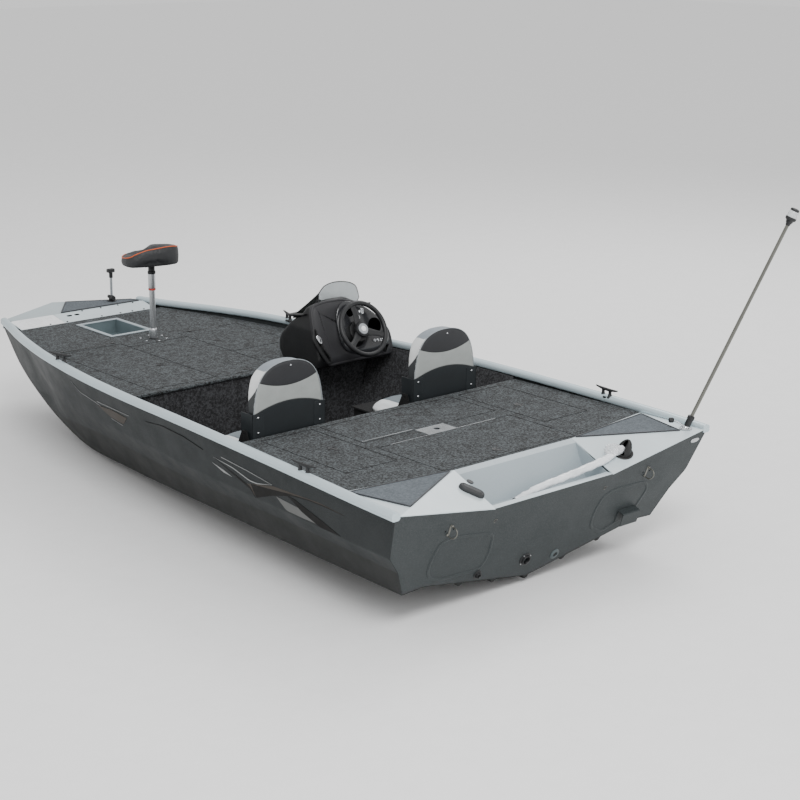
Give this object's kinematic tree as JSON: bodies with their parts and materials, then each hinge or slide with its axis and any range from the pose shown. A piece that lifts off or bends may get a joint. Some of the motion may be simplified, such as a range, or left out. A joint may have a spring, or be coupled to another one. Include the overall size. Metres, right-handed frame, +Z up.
{
  "type": "bass boat",
  "caption": "Open V-bottom aluminium fishing boat with carpeted casting decks over storage lids, a side console with wheel and windscreen, folding seats, a lean seat and navigation lights.",
  "frame": {"origin": "on the centreline at the design waterline, straight below the transom's top edge", "axes": "+X to starboard, +Y forward along the boat, +Z up"},
  "size_m": [2.265, 4.6352, 1.6754],
  "materials": {
    "hull_side": "satin metal-flake grey",
    "hull_low": "satin dark grey",
    "rail": "pale grey paint",
    "bin": "plain",
    "bright": "polished",
    "grip_pad": "non-slip",
    "carpet": "marine carpet",
    "carpet_dark": "marine carpet",
    "vinyl_light": "vinyl",
    "vinyl_dark": "vinyl",
    "black": "moulded",
    "rubber": "moulded",
    "wrap": "wrapped film",
    "screen": "smoked acrylic"
  },
  "bodies": {
    "hull": {"bottom": "hull_low", "side_port": "hull_side", "side_starboard": "hull_side", "transom": "hull_side", "transom_fittings": "hull_side", "gunwales": "rail", "bow_cap": "rail", "pads": "grip_pad", "bow_riser": "rail", "bow_eye": "bright", "bow_light_base": "black", "front_deck": "carpet", "bulkheads": "carpet_dark", "front_bins": "bin", "pedal_tray": "bin", "seat_pedestal": "bright", "sole": "carpet_dark", "liners": "carpet_dark", "console": "black", "dash_panel": "black", "windscreen": "screen", "seat_boxes": "carpet_dark", "seat_cushions": "vinyl_light", "rear_deck": "carpet", "seat_plate": "bright", "rear_bins": "bin", "stern_decks": "rail", "motor_well": "rail", "rigging_boot": "rubber", "rigging_hose": "wrap", "cleats": "black", "stern_light": "black"},
    "rear_lid_port": {"rear_lid_port": "carpet"},
    "rear_lid_starboard": {"rear_lid_starboard": "carpet"},
    "rear_lid_forward": {"rear_lid_forward": "carpet"},
    "rear_lid_aft": {"rear_lid_aft": "carpet"},
    "front_lid_port": {"front_lid_port": "carpet"},
    "front_lid_starboard": {"front_lid_starboard": "carpet"},
    "front_lid_middle": {"front_lid_middle": "carpet"},
    "back_port": {"back_port": "vinyl_light"},
    "back_starboard": {"back_starboard": "vinyl_light"},
    "steering_wheel": {"steering_wheel": "black"},
    "lean_seat": {"bow_seat_post": "bright", "bow_seat": "vinyl_dark"},
    "bow_light": {"bow_light": "black"}
  },
  "joints": [
    {"name": "rear_lid_port_hinge", "type": "hinge", "parent": "hull", "child": "rear_lid_port", "pos_m": [-0.772, 0.885, 0.4], "axis": [0, -1, 0], "range_deg": [0, 95]},
    {"name": "rear_lid_starboard_hinge", "type": "hinge", "parent": "hull", "child": "rear_lid_starboard", "pos_m": [0.772, 0.885, 0.4], "axis": [0, 1, 0], "range_deg": [0, 95]},
    {"name": "rear_lid_forward_hinge", "type": "hinge", "parent": "hull", "child": "rear_lid_forward", "pos_m": [0, 0.872, 0.4], "axis": [1, 0, 0], "range_deg": [0, 80]},
    {"name": "rear_lid_aft_hinge", "type": "hinge", "parent": "hull", "child": "rear_lid_aft", "pos_m": [0, 0.768, 0.4], "axis": [-1, 0, 0], "range_deg": [0, 80]},
    {"name": "front_lid_port_hinge", "type": "hinge", "parent": "hull", "child": "front_lid_port", "pos_m": [-0.612, 2.824, 0.368], "axis": [0, -1, 0], "range_deg": [0, 95]},
    {"name": "front_lid_starboard_hinge", "type": "hinge", "parent": "hull", "child": "front_lid_starboard", "pos_m": [0.612, 3.02, 0.368], "axis": [0, 1, 0], "range_deg": [0, 95]},
    {"name": "front_lid_middle_hinge", "type": "hinge", "parent": "hull", "child": "front_lid_middle", "pos_m": [0, 3.195, 0.368], "axis": [-1, 0, 0], "range_deg": [0, 70]},
    {"name": "back_port_hinge", "type": "hinge", "parent": "hull", "child": "back_port", "pos_m": [-0.552, 1.312, 0.41], "axis": [-1, 0, 0], "range_deg": [0, 90]},
    {"name": "back_starboard_hinge", "type": "hinge", "parent": "hull", "child": "back_starboard", "pos_m": [0.45, 1.312, 0.41], "axis": [-1, 0, 0], "range_deg": [0, 90]},
    {"name": "steering_turn", "type": "hinge", "parent": "hull", "child": "steering_wheel", "pos_m": [0.578, 2.062, 0.569], "axis": [0, -0.8829, 0.4695], "range_deg": [-540, 540]},
    {"name": "lean_seat_turn", "type": "hinge", "parent": "hull", "child": "lean_seat", "pos_m": [0.022, 3.285, 0.6], "axis": [0, 0, 1], "continuous": true},
    {"name": "bow_light_fold", "type": "hinge", "parent": "hull", "child": "bow_light", "pos_m": [0.3, 4.168, 0.42], "axis": [0, -1, 0], "range_deg": [0, 85]}
  ]
}
